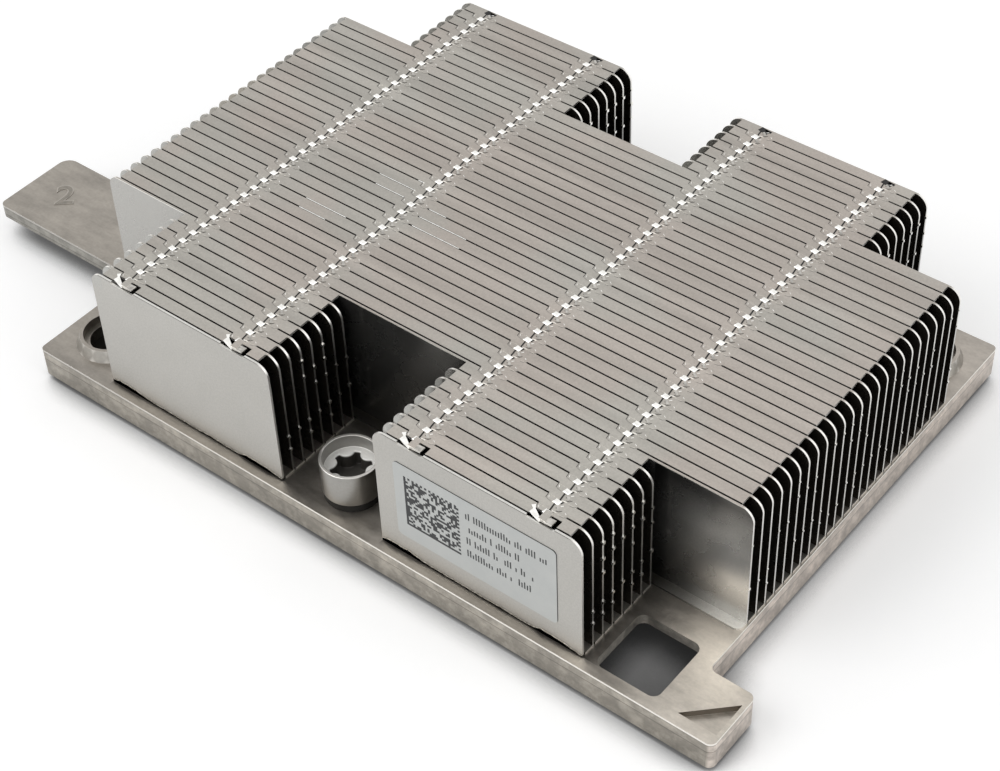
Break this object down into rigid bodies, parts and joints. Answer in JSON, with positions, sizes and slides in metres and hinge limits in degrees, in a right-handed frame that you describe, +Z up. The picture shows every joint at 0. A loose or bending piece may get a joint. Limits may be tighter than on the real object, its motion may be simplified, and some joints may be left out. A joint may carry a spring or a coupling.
{
  "type": "passive server processor heatsink",
  "caption": "Low rectangular heatsink with a cast base, a stack of thin folded fins running lengthwise, corner guide holes, edge tabs and captive nuts in two notches.",
  "frame": {"origin": "centre of the contact pad's bottom face, under the middle of the base", "axes": "+X along the long side and along the fins, towards the short tab; +Y from the front to the rear; +Z up, out of the fins"},
  "size_m": [0.144, 0.08, 0.0261],
  "materials": {
    "cast_base": "rough cast, satin",
    "fin_sheet": "rolled sheet, satin",
    "nut_steel": "turned, satin",
    "washer_black": "matte",
    "label_film": "printed film"
  },
  "bodies": {
    "root": {"base_plate": "cast_base", "captive_nuts": "nut_steel", "retaining_washers": "washer_black", "label": "label_film", "front_left_fin_1": "fin_sheet", "front_left_fin_2": "fin_sheet", "front_left_fin_3": "fin_sheet", "front_left_fin_4": "fin_sheet", "front_left_fin_5": "fin_sheet", "front_left_fin_6": "fin_sheet", "front_left_fin_7": "fin_sheet", "front_left_fin_8": "fin_sheet", "front_right_fin_1": "fin_sheet", "front_right_fin_2": "fin_sheet", "front_right_fin_3": "fin_sheet", "front_right_fin_4": "fin_sheet", "front_right_fin_5": "fin_sheet", "front_right_fin_6": "fin_sheet", "front_right_fin_7": "fin_sheet", "front_right_fin_8": "fin_sheet", "wide_fin_1": "fin_sheet", "wide_fin_2": "fin_sheet", "wide_fin_3": "fin_sheet", "wide_fin_4": "fin_sheet", "wide_fin_5": "fin_sheet", "wide_fin_6": "fin_sheet", "wide_fin_7": "fin_sheet", "wide_fin_8": "fin_sheet", "wide_fin_9": "fin_sheet", "wide_fin_10": "fin_sheet", "wide_fin_11": "fin_sheet", "wide_fin_12": "fin_sheet", "wide_fin_13": "fin_sheet", "wide_fin_14": "fin_sheet", "wide_fin_15": "fin_sheet", "wide_fin_16": "fin_sheet", "wide_fin_17": "fin_sheet", "wide_fin_18": "fin_sheet", "wide_fin_19": "fin_sheet", "wide_fin_20": "fin_sheet", "wide_fin_21": "fin_sheet", "wide_fin_22": "fin_sheet", "wide_fin_23": "fin_sheet", "wide_fin_24": "fin_sheet", "wide_fin_25": "fin_sheet", "rear_left_fin_1": "fin_sheet", "rear_left_fin_2": "fin_sheet", "rear_left_fin_3": "fin_sheet", "rear_left_fin_4": "fin_sheet", "rear_left_fin_5": "fin_sheet", "rear_left_fin_6": "fin_sheet", "rear_left_fin_7": "fin_sheet", "rear_right_fin_1": "fin_sheet", "rear_right_fin_2": "fin_sheet", "rear_right_fin_3": "fin_sheet", "rear_right_fin_4": "fin_sheet", "rear_right_fin_5": "fin_sheet", "rear_right_fin_6": "fin_sheet", "rear_right_fin_7": "fin_sheet"}
  },
  "joints": []
}
